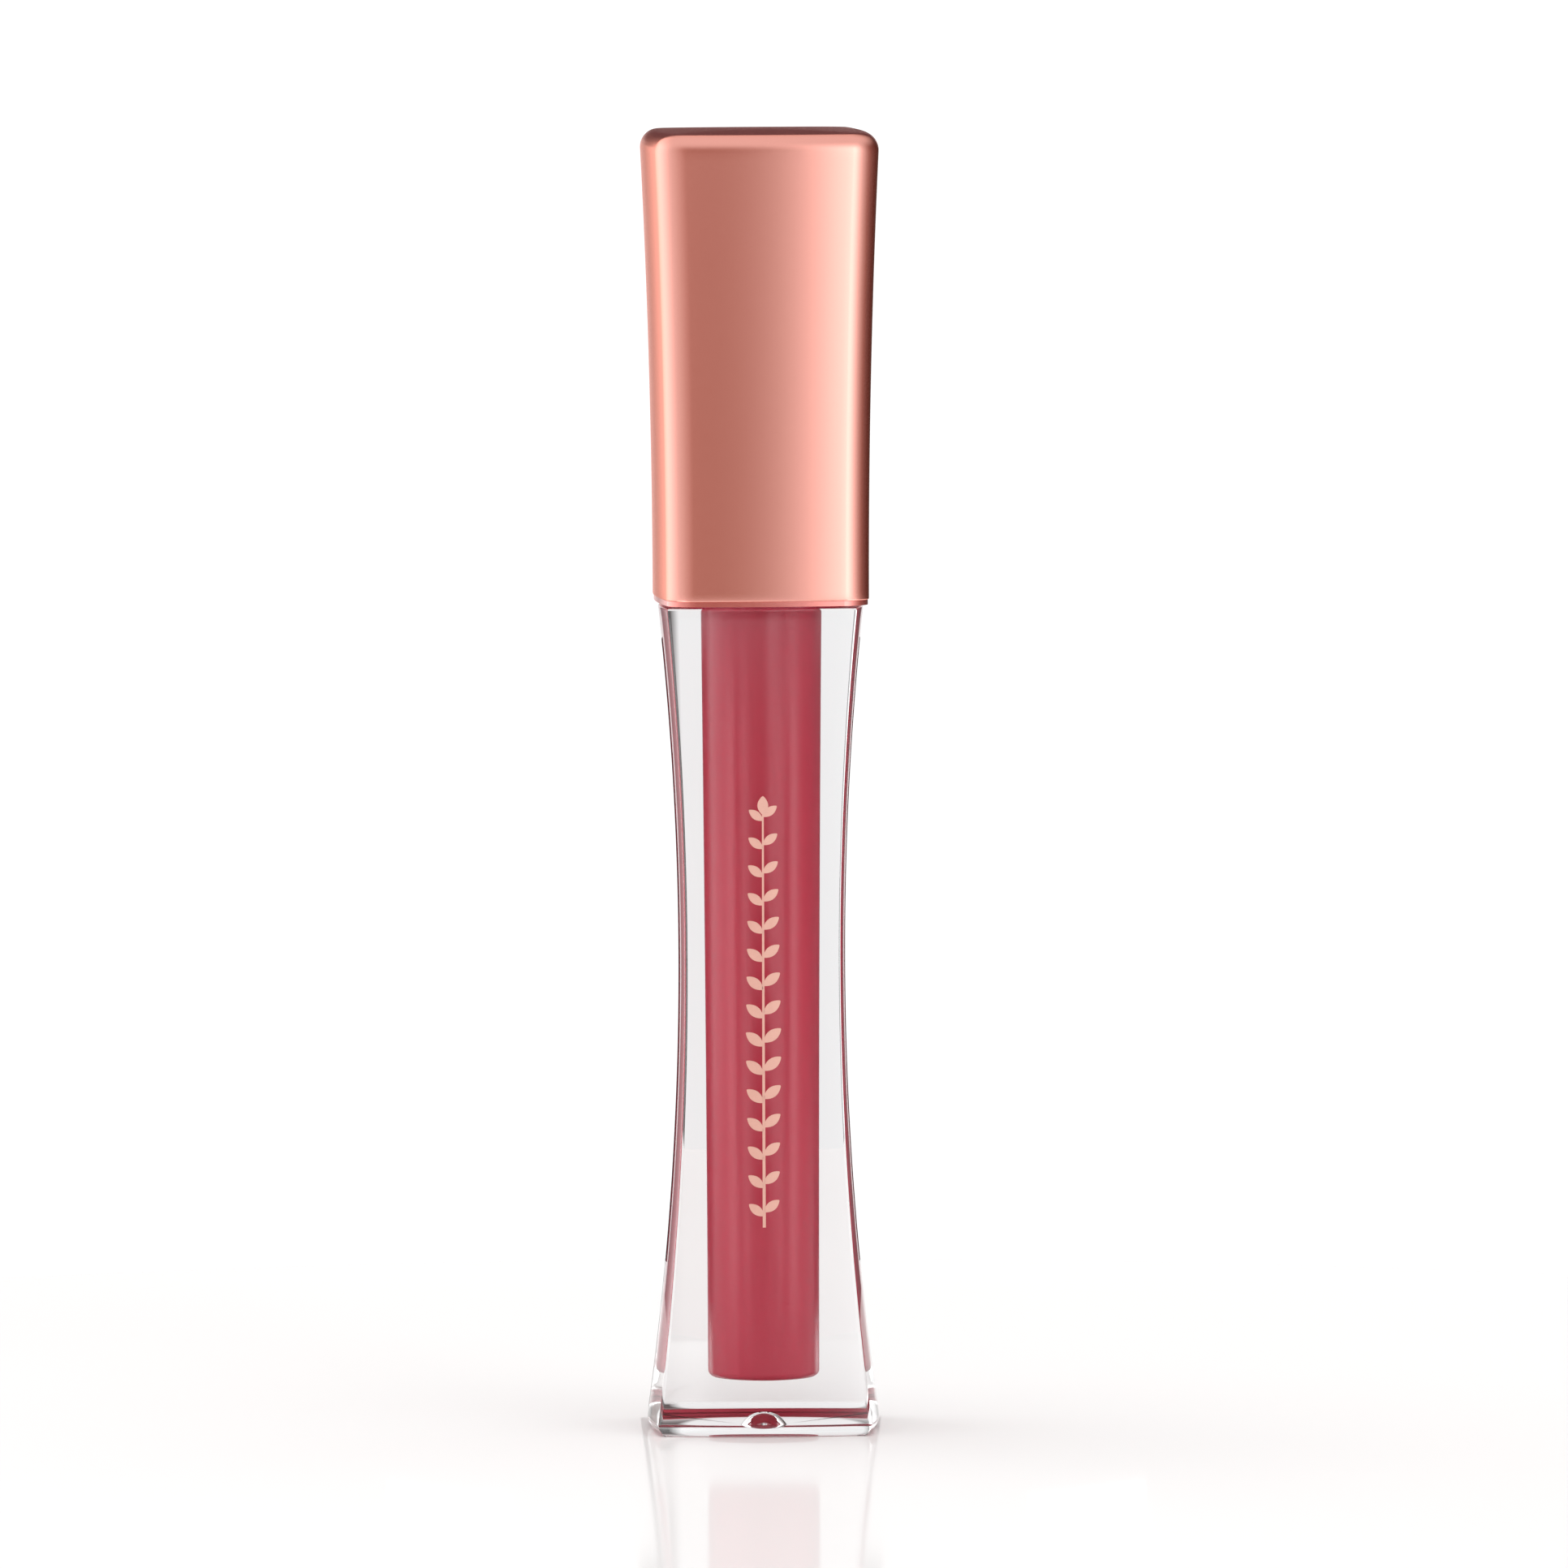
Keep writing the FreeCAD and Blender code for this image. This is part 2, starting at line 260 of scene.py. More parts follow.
def neck_ring(z):
    bead = BEAD_RISE * (1 - fade(abs(z - BEAD_Z), 0.0, BEAD_HALF))
    ring = []
    for a in POLAR:
        radius = NECK_RADIUS + bead + ridge_rise(a, z, THREAD_START_Z)
        ring.append((radius * math.cos(a), radius * math.sin(a), z))
    return ring


def cavity_radius(z):
    slope = (CAVITY_TOP_RADIUS - CAVITY_FLOOR_RADIUS) / (SHOULDER_Z - CAVITY_FLOOR_Z)
    return CAVITY_FLOOR_RADIUS + slope * (z - CAVITY_FLOOR_Z)


def bottle_ring(x, z):
    """A ring of the bottle's plan, drawn in so that its side stands at x."""
    return square_ring(BOTTLE_PLAN, bottle_half(z), z, bottle_half(z) - x)


def bottle_foot():
    """From the middle of the dished gate mark out over the base and round the bottom edge."""
    ball = (GATE_HALF ** 2 + GATE_DEPTH ** 2) / (2 * GATE_DEPTH)
    nub_z = GATE_DEPTH - GATE_NUB_DROP
    rings = [round_ring(GATE_NUB_RADIUS * 0.5, nub_z), round_ring(GATE_NUB_RADIUS, nub_z)]
    for radius in spread(GATE_NUB_RADIUS, GATE_HALF, 12):
        rings.append(round_ring(radius, GATE_DEPTH - ball + math.sqrt(ball ** 2 - radius ** 2)))
    lean = math.degrees(math.atan(WAIST_Z / BOTTLE_FLANK_RADIUS))
    centre = bottle_half(BASE_EDGE) - BASE_EDGE / math.cos(math.radians(lean))
    edge = [bottle_ring(x, z) for x, z in arc(centre, BASE_EDGE, BASE_EDGE, -90, lean, 9)]
    flat = [between(rings[-1], edge[0], share) for share in (0.25, 0.5, 0.75, 0.92)]
    return rings + flat + edge


def bottle_shoulder():
    """Round the small edge from the flank onto the shoulder."""
    lean = math.degrees(math.atan((SHOULDER_Z - WAIST_Z) / BOTTLE_FLANK_RADIUS))
    edge_z = SHOULDER_Z - SHOULDER_EDGE
    centre = bottle_half(edge_z) - SHOULDER_EDGE / math.cos(math.radians(lean))
    return [bottle_ring(x, z) for x, z in arc(centre, edge_z, SHOULDER_EDGE, -lean, 90, 6)]


def bottle_neck():
    """From the fillet at the neck's root up over the thread and across the rim."""
    root_z = SHOULDER_Z + NECK_ROOT_EDGE
    root = arc(NECK_RADIUS + NECK_ROOT_EDGE, root_z, NECK_ROOT_EDGE, 270, 180, 4)
    rings = [round_ring(x, z) for x, z in root]
    rings += [neck_ring(z) for z in spread(root_z, neck_top - NECK_EDGE, 110)[1:]]
    rings.append(round_ring(NECK_RADIUS - NECK_EDGE, neck_top))
    rings.append(round_ring((NECK_RADIUS + NECK_BORE_RADIUS - NECK_EDGE) / 2, neck_top))
    return rings


def bottle_inside():
    """Down the neck's bore and the tapered well, and onto the well's floor."""
    bore_low = neck_top - NECK_BORE_DEPTH
    edge = CAVITY_FLOOR_EDGE
    edge_z = CAVITY_FLOOR_Z + edge
    rings = [round_ring(NECK_BORE_RADIUS, z) for z in spread(neck_top, bore_low, 6)]
    rings += [round_ring(cavity_radius(z), z) for z in spread(bore_low, edge_z, 24)]
    corner = arc(CAVITY_FLOOR_RADIUS - edge, edge_z, edge, 0, -90, 6)
    rings += [round_ring(x, z) for x, z in corner[1:]]
    rings.append(round_ring(CAVITY_FLOOR_RADIUS * 0.4, CAVITY_FLOOR_Z))
    return rings


def make_bottle():
    """The clear bottle as one closed skin: base, flank, shoulder, threaded neck, bore and well."""
    foot = bottle_foot()
    shoulder = bottle_shoulder()
    neck = bottle_neck()
    flank = [square_ring(BOTTLE_PLAN, bottle_half(z), z)
             for z in spread(foot[-1][0][2], shoulder[0][0][2], 90)[1:-1]]
    flat = [between(shoulder[-1], neck[0], share) for share in (0.15, 0.5, 0.85)]
    return skin("bottle_clear", foot + flank + shoulder + flat + neck + bottle_inside())


def make_gloss():
    """The liquid, which wets the wall of the well and dips to the wand."""
    low = CAVITY_FLOOR_Z - GLOSS_WETTING
    edge = CAVITY_FLOOR_EDGE
    brim = gloss_top - GLOSS_RISE
    rings = [round_ring(CAVITY_FLOOR_RADIUS * 0.4, low)]
    corner = arc(CAVITY_FLOOR_RADIUS + GLOSS_WETTING - edge, low + edge, edge, -90, 0, 8)
    rings += [round_ring(x, z) for x, z in corner]
    rings += [round_ring(cavity_radius(z) + GLOSS_WETTING, z)
              for z in spread(low + edge, gloss_top - 0.2 * MM, 40)[1:]]
    wall = cavity_radius(gloss_top) + GLOSS_WETTING
    for share in spread(0.02, 1.0, 14):
        radius = wall + (WAND_PATH_RADIUS - wall) * share
        rise = GLOSS_RISE * (1 - share) ** 4 - GLOSS_DIP * share ** 5
        rings.append(round_ring(radius, brim + rise))
    rings += [round_ring(WAND_PATH_RADIUS, z) for z in spread(brim - GLOSS_DIP, WAND_PATH_FLOOR_Z, 12)[1:]]
    return skin("gloss_column", rings)


def cap_ring(x, z):
    """A ring of the cap's plan, drawn in so that its side stands at x."""
    return square_ring(CAP_PLAN, cap_half(z), z, cap_half(z) - x)


def cap_hollow():
    """From the middle of the hollow's roof down its walls to the mouth."""
    roof = cap_top - CAP_ROOF
    edge = CAP_HOLLOW_EDGE
    corner = [cap_ring(x, z) for x, z in arc(cap_half(roof) - CAP_WALL - edge, roof - edge, edge, 90, 0, 6)]
    rings = [between(round_ring(1 * MM, roof), corner[0], share) for share in (0.0, 0.5)]
    walls = [square_ring(CAP_PLAN, cap_half(z), z, CAP_WALL)
             for z in spread(roof - edge, cap_bottom, 24)[1:]]
    return rings + corner + walls


def cap_flank():
    """Round the mouth's edge, up the flank and round the top edge, which ends at the crown's slope."""
    mouth_z = cap_bottom + CAP_BOTTOM_EDGE
    lip = arc(CAP_BOTTOM_HALF - CAP_BOTTOM_EDGE, mouth_z, CAP_BOTTOM_EDGE, -90, 0, 4)
    lean = math.degrees(math.atan((cap_top - CAP_TOP_EDGE - cap_bottom) / CAP_FLANK_RADIUS))
    edge_z = cap_top - CAP_CROWN - CAP_TOP_EDGE
    centre = cap_half(edge_z) - CAP_TOP_EDGE / math.cos(math.radians(lean))
    top = arc(centre, edge_z, CAP_TOP_EDGE, -lean, 90 - CAP_CROWN_LEAN_DEGREES, 14)
    rings = [cap_ring(x, z) for x, z in lip]
    rings += [square_ring(CAP_PLAN, cap_half(z), z) for z in spread(mouth_z, top[0][1], 60)[1:-1]]
    return rings + [cap_ring(x, z) for x, z in top]


def cap_crown(rim):
    """From the top edge in over the slightly domed top."""
    rim_z = rim[0][2]
    spot = round_ring(0.5 * MM, rim_z)
    rings = []
    for share in spread(0.0, 1.0, 14)[1:]:
        rise = (cap_top - rim_z) * (1 - (1 - share) ** 2)
        rings.append([(x, y, rim_z + rise) for x, y, _ in between(rim, spot, share)])
    return rings


def make_outer_cap():
    """The metallised shell as one closed skin, turned to where it stands when screwed on."""
    flank = cap_flank()
    piece = skin("cap_shell", cap_hollow() + flank + cap_crown(flank[-1]))
    piece.data.transform(Matrix.Rotation(math.radians(CAP_TURN_DEGREES), 4, "Z"))
    return piece


def front_face(x, z, lift):
    """A point on the bottle's front face, raised off it by lift."""
    face_radius = BOTTLE_PLAN[0]
    depth = math.sqrt(face_radius ** 2 - x ** 2) - face_radius + bottle_half(z)
    return (x, -depth - lift, z)


def leaf(foot_z, side, lean, length, width):
    """A pointed leaf as pairs of edge points, from its foot on the stem to its tip."""
    along_x, along_z = side * math.sin(math.radians(lean)), math.cos(math.radians(lean))
    pairs = []
    for step in spread(0.04, 0.98, 10):
        half = width / 2 * math.sin(math.pi * step) ** 0.8
        x, z = along_x * length * step, foot_z + along_z * length * step
        pairs.append(((x - along_z * half, z + along_x * half), (x + along_z * half, z - along_x * half)))
    return pairs


def sprig_strips():
    """The stem, the leaf at its top and the pairs of leaves, each as pairs of edge points."""
    stem_top = SPRIG_TOP - LEAF_LENGTH * 0.8
    stem = []
    for z in spread(SPRIG_BOTTOM, stem_top, 48):
        half = STEM_WIDTH / 2 * (1.15 - 0.5 * (z - SPRIG_BOTTOM) / (stem_top - SPRIG_BOTTOM))
        stem.append(((-half, z), (half, z)))
    strips = [stem, leaf(stem_top - 0.1 * MM, 0, 0, LEAF_LENGTH * 0.85, LEAF_WIDTH)]
    for index in range(LEAF_PAIRS):
        foot = SPRIG_BOTTOM + 1.0 * MM + (stem_top - SPRIG_BOTTOM - 1.6 * MM) * index / (LEAF_PAIRS - 1)
        size = 1.0 - 0.18 * abs(2 * index / (LEAF_PAIRS - 1) - 0.8)
        for side, shift in ((-1, 0.0), (1, LEAF_STAGGER)):
            strips.append(leaf(foot + shift, side, LEAF_LEAN_DEGREES, LEAF_LENGTH * size, LEAF_WIDTH * size))
    return strips


def make_sprig():
    """A plain leafy sprig stamped in foil up the front of the bottle."""
    points, faces = [], []
    for strip in sprig_strips():
        base = len(points)
        for left, right in strip:
            for x, z in (left, right):
                points += [front_face(x, z, FOIL_TOP), front_face(x, z, FOIL_FOOT)]
        for row in range(len(strip) - 1):
            a, b = base + 4 * row, base + 4 * row + 4
            faces += [(a, a + 2, b + 2, b), (a + 1, b + 1, b + 3, a + 3),
                      (a, b, b + 1, a + 1), (a + 2, a + 3, b + 3, b + 2)]
        end = base + 4 * (len(strip) - 1)
        faces += [(base, base + 1, base + 3, base + 2), (end, end + 2, end + 3, end + 1)]
    return mesh_piece("foil_sprig", points, faces)


def flock_faces():
    """The flocked tip's triangles, as (corners, normal, area)."""
    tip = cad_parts["applicator_flock"]
    turn = tip.matrix_world.to_3x3()
    found = []
    for face in tip.data.polygons:
        corners = [tip.matrix_world @ tip.data.vertices[i].co for i in face.vertices]
        found.append((corners, (turn @ face.normal).normalized(), face.area))
    return found


def slice_sums(triangles):
    """For each millimetre of height, the sum of place times area and the sum of area."""
    slices = {}
    for corners, _, area in triangles:
        middle = sum(corners, Vector()) / len(corners)
        total = slices.setdefault(round(middle.z / MM), [Vector(), 0.0])
        total[0] += middle * area
        total[1] += area
    return slices


def fibre_points(spot, normal, chance):
    """Three points round a fibre's foot and one at its end."""
    lean = Vector([chance.uniform(-1, 1) for _ in range(3)]) * FIBRE_LEAN
    way = (normal + lean).normalized()
    side = way.orthogonal().normalized()
    other = way.cross(side)
    foot = spot - normal * FIBRE_ROOT_MM * MM
    points = [foot + (side * math.cos(angle) + other * math.sin(angle)) * FIBRE_RADIUS
              for angle in (0, 2 * math.pi / 3, 4 * math.pi / 3)]
    points.append(foot + way * chance.uniform(*FIBRE_LENGTH_MM) * MM)
    return points


def make_fibres():
    """Short fibres standing on the outside of the flocked tip."""
    triangles = flock_faces()
    slices = slice_sums(triangles)
    chance = random.Random(7)
    points, faces = [], []
    for corners, normal, area in triangles:
        middle = sum(corners, Vector()) / len(corners)
        total, weight = slices[round(middle.z / MM)]
        if (middle - total / weight).dot(normal) <= 0:
            continue
        wanted = area / MM ** 2 * FIBRES_PER_SQUARE_MM
        count = int(wanted) + (chance.random() < wanted - int(wanted))
        for _ in range(count):
            near, far = sorted((chance.random(), chance.random()))
            spot = corners[0] * near + corners[1] * (far - near) + corners[2] * (1 - far)
            base = len(points)
            points += fibre_points(spot, normal, chance)
            faces += [(base, base + 1, base + 3), (base + 1, base + 2, base + 3),
                      (base + 2, base, base + 3), (base, base + 2, base + 1)]
    return mesh_piece("tip_fibres", points, faces)


# Node helpers

def new_tree(material):
    material.use_nodes = True
    tree = material.node_tree
    tree.nodes.clear()
    return tree


def principled(name, colour, roughness, **sockets):
    """A material whose sockets are set by name, with its output wired up."""
    material = bpy.data.materials.new(name)
    tree = new_tree(material)
    shader = tree.nodes.new("ShaderNodeBsdfPrincipled")
    output = tree.nodes.new("ShaderNodeOutputMaterial")
    tree.links.new(shader.outputs["BSDF"], output.inputs["Surface"])
    shader.inputs["Base Color"].default_value = (*colour, 1.0)
    shader.inputs["Roughness"].default_value = roughness
    for socket, value in sockets.items():
        shader.inputs[socket.replace("_", " ")].default_value = value
    return material, tree, shader


# World

STUDIO_PEAK = 2.8                    # the ramp below holds levels as a share of this
ZENITH = (0.95, 0.93, 0.92)
BACKDROP = 1.1
FLOOR_RADIUS = 0.16
FLOOR_Z = -0.02 * MM
STRIP_BEARING_DEGREES = 53
STRIP_DISTANCE = 35 * MM
STRIP_HALF_WIDTH = 9 * MM
STRIP_GLOW = 2.5
EDGE_CARD_BACK = 13 * MM
EDGE_CARD_INSIDE = 1 * MM
EDGE_CARD_FOOT = 0.5 * MM
EDGE_CARD_STEP = 13.6 * MM           # above this the floor mirrors a card only below the picture
EDGE_CARD_TOP = SHOULDER_Z - 4 * MM  # low enough to stay out of the cap's reflections


def level(*values):
    """A light level, as one grey value or as red, green and blue."""
    red, green, blue = values if len(values) == 3 else values * 3
    return (red / STUDIO_PEAK, green / STUDIO_PEAK, blue / STUDIO_PEAK)


def ring_stops():
    """Light round the horizon, as (degrees from the front towards the right, colour)."""
    stops = [(-180, level(1.0)), (-170, level(1.0)), (-169, level(0.2)), (-164, level(0.4)),
             (-157, level(1.4)), (-148, level(1.9)), (-121, level(2.0)), (-96, level(1.6)),
             (-67, level(0.98)), (-43, level(0.79, 0.72, 0.69)), (-25, level(0.65, 0.51, 0.48)),
             (-7, level(0.49, 0.32, 0.28)), (-3, level(0.41, 0.24, 0.20)), (3, level(0.38, 0.21, 0.17)),
             (6, level(0.40, 0.25, 0.21)), (9, level(0.49, 0.37, 0.33)), (13, level(0.60, 0.58, 0.58)),
             (16, level(0.78)), (19, level(1.15)), (21, level(1.75)), (25, level(2.7)), (36, level(2.3)),
             (46, level(1.75)), (59, level(1.05)), (74, level(0.64, 0.55, 0.53)),
             (90, level(0.34, 0.19, 0.16)), (109, level(0.18, 0.10, 0.09)), (134, level(0.11, 0.04, 0.03)),
             (150, level(0.09)), (169, level(0.1)), (170, level(1.0)), (180, level(1.0))]
    return [((degrees + 180) / 360, colour) for degrees, colour in stops]


def set_ramp(ramp, stops):
    """Stops are (position, colour) pairs in order."""
    while len(ramp.elements) > 1:
        ramp.elements.remove(ramp.elements[-1])
    for index, (position, colour) in enumerate(stops):
        element = ramp.elements[0] if index == 0 else ramp.elements.new(position)
        element.position = position
        element.color = (*colour, 1.0)


def math_node(tree, operation, first, second=None):
    """A math node; an input is a socket or a number."""
    made = tree.nodes.new("ShaderNodeMath")
    made.operation = operation
    for index, value in enumerate((first, second)):
        if value is None:
            continue
        if isinstance(value, (int, float)):
            made.inputs[index].default_value = value
        else:
            tree.links.new(value, made.inputs[index])
    return made.outputs[0]


def ramp_node(tree, stops, factor):
    made = tree.nodes.new("ShaderNodeValToRGB")
    made.color_ramp.interpolation = "LINEAR"
    set_ramp(made.color_ramp, stops)
    tree.links.new(factor, made.inputs["Fac"])
    return made.outputs["Color"]


def step_node(tree, value, low, high):
    """0 below low, 1 above high, smooth between."""
    made = tree.nodes.new("ShaderNodeMapRange")
    made.interpolation_type = "SMOOTHSTEP"
    made.inputs["From Min"].default_value = low
    made.inputs["From Max"].default_value = high
    tree.links.new(value, made.inputs["Value"])
    return made.outputs["Result"]


def mix_node(tree, factor, first, second):
    """A colour mix; first and second are sockets or colours."""
    made = tree.nodes.new("ShaderNodeMix")
    made.data_type = "RGBA"
    tree.links.new(factor, made.inputs["Factor"])
    for name, value in (("A", first), ("B", second)):
        if isinstance(value, tuple):
            made.inputs[name].default_value = (*value, 1.0)
        else:
            tree.links.new(value, made.inputs[name])
    return made.outputs["Result"]


def studio_sky(tree):
    """The ring of light round the horizon, white well below it, and a soft light overhead."""
    where = tree.nodes.new("ShaderNodeTexCoord")
    split = tree.nodes.new("ShaderNodeSeparateXYZ")
    tree.links.new(where.outputs["Generated"], split.inputs["Vector"])
    forward = math_node(tree, "MULTIPLY", split.outputs["Y"], -1.0)
    angle = math_node(tree, "ARCTAN2", split.outputs["X"], forward)
    share = math_node(tree, "ADD", math_node(tree, "DIVIDE", angle, 2 * math.pi), 0.5)
    ring = ramp_node(tree, ring_stops(), share)
    walls = mix_node(tree, step_node(tree, split.outputs["Z"], -0.34, -0.18), level(1.0), ring)
    return mix_node(tree, step_node(tree, split.outputs["Z"], 0.25, 0.9), walls, level(*ZENITH))


def make_world():
    """The studio lights and mirrors as its sky does, and the camera sees plain white behind the tube."""
    world = bpy.data.worlds.new("studio")
    bpy.context.scene.world = world
    world.use_nodes = True
    tree = world.node_tree
    tree.nodes.clear()
    studio = tree.nodes.new("ShaderNodeBackground")
    studio.inputs["Strength"].default_value = STUDIO_PEAK
    tree.links.new(studio_sky(tree), studio.inputs["Color"])
    plain = tree.nodes.new("ShaderNodeBackground")
    plain.inputs["Strength"].default_value = BACKDROP
    plain.inputs["Color"].default_value = (1, 1, 1, 1)
    path = tree.nodes.new("ShaderNodeLightPath")
    choose = tree.nodes.new("ShaderNodeMixShader")
    tree.links.new(path.outputs["Is Camera Ray"], choose.inputs["Fac"])
    tree.links.new(studio.outputs["Background"], choose.inputs[1])
    tree.links.new(plain.outputs["Background"], choose.inputs[2])
    output = tree.nodes.new("ShaderNodeOutputWorld")
    tree.links.new(choose.outputs["Shader"], output.inputs["Surface"])


def make_floor():
    """A round white sheet, a little glossy, so that the tube stands on its own faint reflection."""
    points = [(FLOOR_RADIUS * math.cos(a), FLOOR_RADIUS * math.sin(a), FLOOR_Z)
              for a in spread(0, 2 * math.pi, 96)[:-1]]
    mesh = bpy.data.meshes.new("floor")
    mesh.from_pydata(points, [], [tuple(range(len(points)))])
    material, _, _ = principled("floor_white", (0.82, 0.82, 0.82), 0.09, IOR=1.04)
    mesh.materials.append(material)
    add_object("floor", mesh)


def make_card(name, points, faces, colour, glow):
    """A studio card that the camera doesn't see."""
    card = mesh_piece(name, points, faces)
    material, _, shader = principled(name, colour, 1.0)
    shader.inputs["Emission Color"].default_value = (1, 1, 1, 1)
    shader.inputs["Emission Strength"].default_value = glow
    card.data.materials.append(material)
    card.visible_camera = False
    return card


def make_flag():
    """A dark card behind and above, which only the cap's top can mirror."""
    low, high, across, back = 116.5 * MM, 150 * MM, 30 * MM, 45 * MM
    points = [(-across, back, low), (across, back, low), (across, back, high), (-across, back, high)]
    make_card("flag", points, [(0, 1, 2, 3)], (0.09, 0.05, 0.07), 0.0)


def make_strip(name, side):
    """A soft light strip beside the bottle, for the highlight down that side of the gloss."""
    low, high = 4 * MM, 66 * MM
    turn = math.radians(STRIP_BEARING_DEGREES)
    middle_x = side * STRIP_DISTANCE * math.sin(turn)
    middle_y = -STRIP_DISTANCE * math.cos(turn)
    along_x = STRIP_HALF_WIDTH * math.cos(turn)
    along_y = side * STRIP_HALF_WIDTH * math.sin(turn)
    points = [(middle_x + way * along_x, middle_y + way * along_y, z)
              for way, z in ((-1, low), (1, low), (1, high), (-1, high))]
    return make_card(name, points, [(0, 1, 2, 3)], (0.0, 0.0, 0.0), STRIP_GLOW)


def make_edge_card(name, side, low, high, reach):
    """A narrow dark card close behind an edge of the bottle and shaped to it, which the edge mirrors."""
    points = []
    for z in spread(low, high, 30):
        points += [(side * (bottle_half(z) - EDGE_CARD_INSIDE), EDGE_CARD_BACK, z),
                   (side * (bottle_half(z) + reach), EDGE_CARD_BACK, z)]
    faces = [(a, a + 1, a + 3, a + 2) for a in range(0, len(points) - 2, 2)]
    return make_card(name, points, faces, (0.03, 0.03, 0.03), 0.0)


def make_cards():
    """The flag, and the strips and edge cards, which show only in mirrors and through the plastic."""
    make_flag()
    cards = []
    for side, name in ((-1, "left"), (1, "right")):
        cards += [make_strip("strip_" + name, side),
                  make_edge_card("foot_edge_" + name, side, EDGE_CARD_FOOT, EDGE_CARD_STEP, 0.4 * MM),
                  make_edge_card("bottle_edge_" + name, side, EDGE_CARD_STEP, EDGE_CARD_TOP, 2.2 * MM)]
    for card in cards:
        card.visible_diffuse = False
        card.visible_shadow = False


def make_overhead():
    """A wide soft light straight above, which brightens the floor and leaves a soft contact shadow."""
    data = bpy.data.lights.new("overhead", "SUN")
    data.energy = 1.1
    data.angle = math.radians(70)
    add_object("overhead", data).visible_glossy = False


# Materials

def cover(node_name, material):
    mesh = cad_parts[node_name].data
    mesh.materials.clear()
    mesh.materials.append(material)


def noise(tree, scale, detail=2.0):
    """Noise in the piece's own coordinates."""
    where = tree.nodes.new("ShaderNodeTexCoord")
    made = tree.nodes.new("ShaderNodeTexNoise")
    made.inputs["Scale"].default_value = scale
    made.inputs["Detail"].default_value = detail
    tree.links.new(where.outputs["Object"], made.inputs["Vector"])
    return made.outputs["Fac"]


def vary(tree, factor, low, high, socket):
    """Moves a socket between two values as factor goes from 0 to 1."""
    made = tree.nodes.new("ShaderNodeMapRange")
    made.inputs["To Min"].default_value = low
    made.inputs["To Max"].default_value = high
    tree.links.new(factor, made.inputs["Value"])
    tree.links.new(made.outputs["Result"], socket)


def bump(tree, height, strength, distance, shader):
    made = tree.nodes.new("ShaderNodeBump")
    made.inputs["Strength"].default_value = strength
    made.inputs["Distance"].default_value = distance
    tree.links.new(height, made.inputs["Height"])
    tree.links.new(made.outputs["Normal"], shader.inputs["Normal"])


def tint(tree, factor, low, high, shader):
    """Mottles the base colour between two near shades."""
    tree.links.new(mix_node(tree, factor, low, high), shader.inputs["Base Color"])


def metallised_rose():
    """Vacuum metallising under a satin lacquer, with a very fine grain."""
    material, tree, shader = principled("metallised_rose", (0.88, 0.41, 0.345), 0.24, Metallic=1.0,
                                        Specular_Tint=(0.92, 0.58, 0.5, 1.0))
    grain = noise(tree, 9000.0)
    vary(tree, grain, 0.21, 0.27, shader.inputs["Roughness"])
    tint(tree, grain, (0.86, 0.395, 0.33), (0.90, 0.425, 0.36), shader)
    bump(tree, grain, 0.10, 0.01 * MM, shader)
    return material


def rose_plastic():
    """The moulded insert, metallised like the shell but redder, and glossier."""
    material, tree, shader = principled("rose_plastic", (0.84, 0.30, 0.27), 0.2, Metallic=0.9)
    grain = noise(tree, 2500.0)
    vary(tree, grain, 0.17, 0.24, shader.inputs["Roughness"])
    tint(tree, grain, (0.82, 0.28, 0.25), (0.86, 0.32, 0.29), shader)
    return material


def stamped_foil():
    """Hot-stamped foil: the shell's rose, paler and less sharp."""
    material, tree, shader = principled("stamped_foil", (0.93, 0.58, 0.49), 0.4, Metallic=1.0)
    grain = noise(tree, 6000.0)
    vary(tree, grain, 0.36, 0.46, shader.inputs["Roughness"])
    tint(tree, grain, (0.90, 0.55, 0.46), (0.95, 0.61, 0.52), shader)
    return material


def stained_rod():
    """The rod, with the thin streaky film of gloss that the wiper leaves below its grip."""
    material, tree, shader = principled("rod_plastic", (0.80, 0.80, 0.79), 0.22)
    where = tree.nodes.new("ShaderNodeTexCoord")
    split = tree.nodes.new("ShaderNodeSeparateXYZ")
    tree.links.new(where.outputs["Object"], split.inputs["Vector"])
    streaks = noise(tree, 900.0, 3.0)
    height = math_node(tree, "ADD", split.outputs["Z"], math_node(tree, "MULTIPLY", streaks, 4 * MM))
    clean = step_node(tree, height, ROD_STAIN_LOW, ROD_STAIN_HIGH)
    film = mix_node(tree, streaks, (0.62, 0.16, 0.19), (0.80, 0.42, 0.43))
    tree.links.new(mix_node(tree, clean, film, (0.80, 0.80, 0.79)), shader.inputs["Base Color"])
    vary(tree, streaks, 0.12, 0.3, shader.inputs["Roughness"])
    bump(tree, streaks, 0.2, 0.03 * MM, shader)
    return material


def clear_plastic():
    """Thick clear copolyester with a trace of grey, and almost unseen flow marks."""
    material, tree, shader = principled("clear_plastic", (0.90, 0.905, 0.91), 0.0, IOR=1.57,
                                        Transmission_Weight=1.0)
    bump(tree, noise(tree, 220.0), 0.02, 0.05 * MM, shader)
    return material


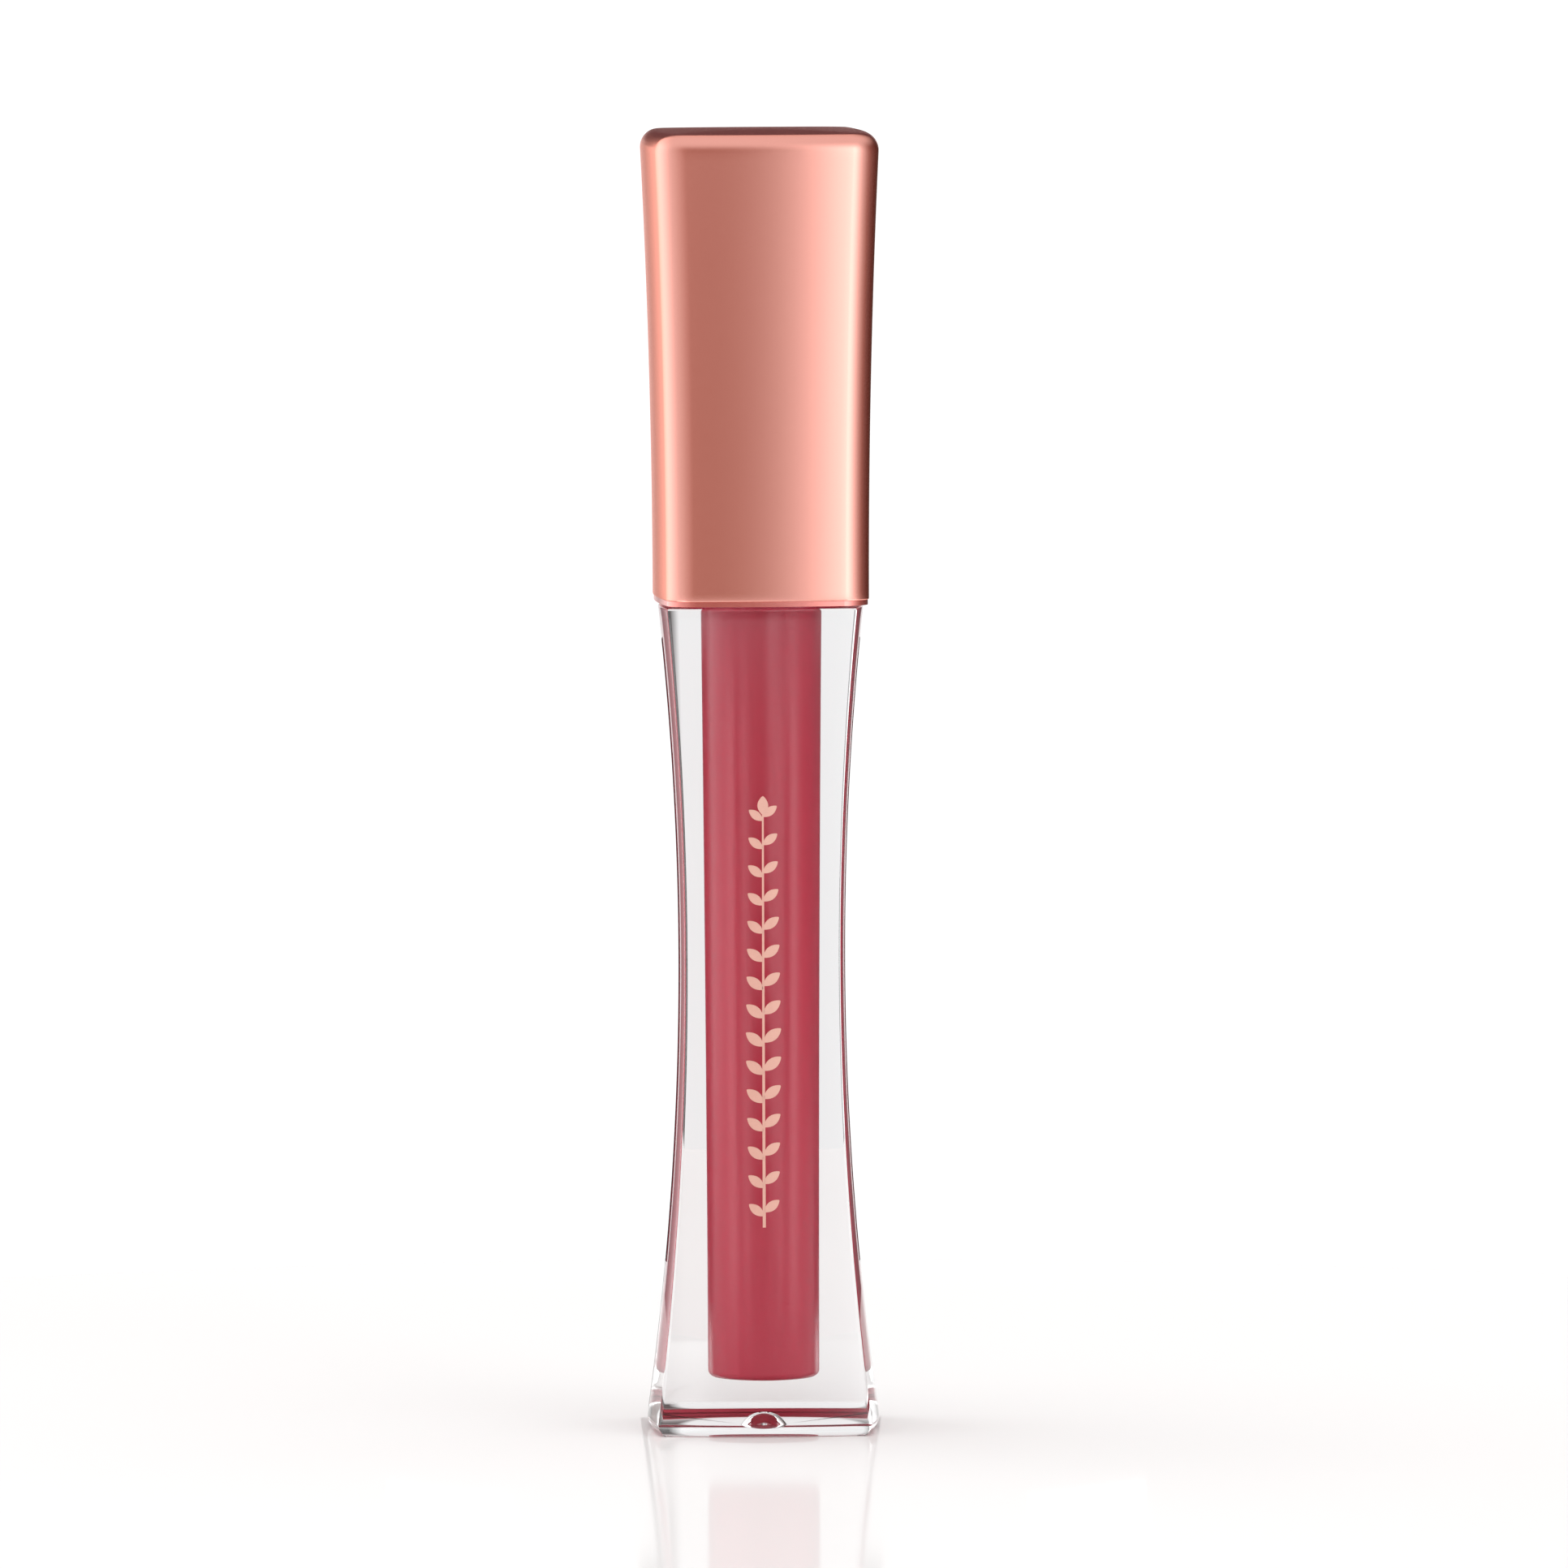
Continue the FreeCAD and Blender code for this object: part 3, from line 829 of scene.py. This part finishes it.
def gloss_liquid():
    """A creamy tinted gloss, even in colour, with a wet sheen."""
    material, tree, shader = principled("gloss_liquid", (0.63, 0.024, 0.07), 0.32, IOR=1.6)
    pigment = noise(tree, 1400.0, 4.0)
    tint(tree, pigment, (0.62, 0.0235, 0.0685), (0.64, 0.0245, 0.0715), shader)
    return material


def soft_plastic(name, colour, roughness):
    """Milky moulded polyethylene: a little light passes through, and the skin is faintly uneven."""
    material, tree, shader = principled(name, colour, roughness, Subsurface_Weight=0.25,
                                        Subsurface_Scale=1 * MM)
    grain = noise(tree, 1800.0)
    vary(tree, grain, roughness - 0.05, roughness + 0.08, shader.inputs["Roughness"])
    tint(tree, grain, tuple(share * 0.97 for share in colour), colour, shader)
    bump(tree, grain, 0.06, 0.01 * MM, shader)
    return material


def flock_fibre():
    """Short nylon fibre, soaked in the gloss."""
    material, tree, shader = principled("flock_fibre", (0.50, 0.10, 0.13), 0.85)
    clumps = noise(tree, 2600.0, 5.0)
    tint(tree, clumps, (0.40, 0.055, 0.085), (0.66, 0.20, 0.24), shader)
    bump(tree, clumps, 0.5, 0.05 * MM, shader)
    return material


def place(piece, body, stands_for, slot, material):
    piece.data.materials.append(material)
    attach(piece, body)
    if stands_for:
        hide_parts(stands_for)


make_camera()
make_world()
make_floor()
make_cards()
make_overhead()
bpy.context.scene.view_settings.view_transform = "Standard"

place(make_outer_cap(), "cap", "outer_cap", "metallised_rose", metallised_rose())
place(make_bottle(), "bottle_body", "bottle", "clear_plastic", clear_plastic())
place(make_gloss(), "bottle_body", "gloss", "gloss_liquid", gloss_liquid())
place(make_sprig(), "bottle_body", None, "metallised_rose", stamped_foil())
flock = flock_fibre()
place(make_fibres(), "cap", None, "flock_fibre", flock)
cover("inner_cap", rose_plastic())
cover("wiper", soft_plastic("soft_white", (0.86, 0.86, 0.85), 0.38))
cover("seal_liner", soft_plastic("liner_foam", (0.88, 0.88, 0.87), 0.6))
cover("wand_rod", stained_rod())
cover("applicator_tip", soft_plastic("tip_plastic", (0.84, 0.83, 0.81), 0.42))
cover("applicator_flock", flock)
